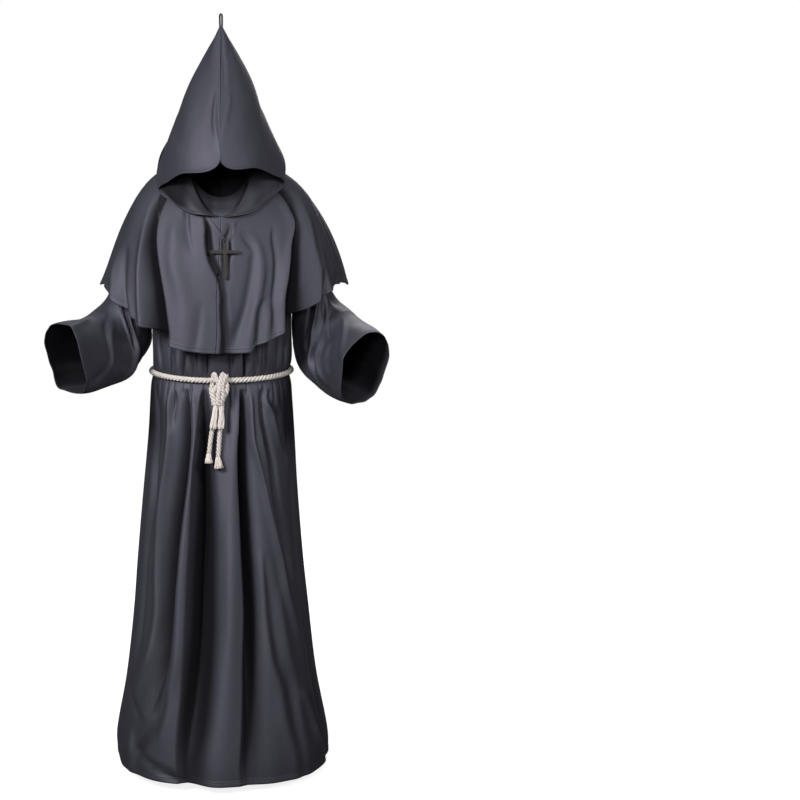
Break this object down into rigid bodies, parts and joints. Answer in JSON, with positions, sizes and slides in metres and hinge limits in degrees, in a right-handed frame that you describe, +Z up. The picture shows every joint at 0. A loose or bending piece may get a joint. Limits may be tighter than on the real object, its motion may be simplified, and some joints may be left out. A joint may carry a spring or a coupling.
{
  "type": "hooded monk robe costume",
  "caption": "Full-length monk robe in its worn pose, with bell sleeves, shoulder cape, tall pointed hood, tasselled rope belt and a cord necklace with a plain cross.",
  "frame": {"origin": "the base of the wearer's neck, in the middle of the neck opening", "axes": "+Z up, -Y the way the wearer faces, +X the wearer's left"},
  "size_m": [0.7766, 0.5113, 1.7811],
  "materials": {
    "robe_cloth": "satin woven polyester",
    "loop_tape": "folded self tape",
    "cotton_rope": "twisted cotton",
    "waxed_cord": "waxed cord",
    "dark_metal": "dark antique cast metal"
  },
  "bodies": {
    "garment": {"robe_front": "robe_cloth", "robe_back_left": "robe_cloth", "robe_back_right": "robe_cloth", "sleeve_left": "robe_cloth", "sleeve_right": "robe_cloth", "cape_left": "robe_cloth", "cape_right": "robe_cloth", "hood_left": "robe_cloth", "hood_right": "robe_cloth", "hood_loop": "loop_tape", "belt_rope": "cotton_rope", "belt_knot": "cotton_rope", "belt_wrap": "cotton_rope", "belt_end_left": "cotton_rope", "belt_end_right": "cotton_rope", "belt_tail_left": "cotton_rope", "belt_tail_right": "cotton_rope", "belt_tassel_left": "cotton_rope", "belt_tassel_right": "cotton_rope", "necklace_cord": "waxed_cord"},
    "pendant": {"necklace_ring": "dark_metal", "cross_pendant": "dark_metal"}
  },
  "joints": [
    {"name": "pendant_swing", "type": "hinge", "parent": "garment", "child": "pendant", "pos_m": [0.0085, -0.15266, -0.17], "axis": [-1, 0, 0], "range_deg": [0, 75]}
  ]
}
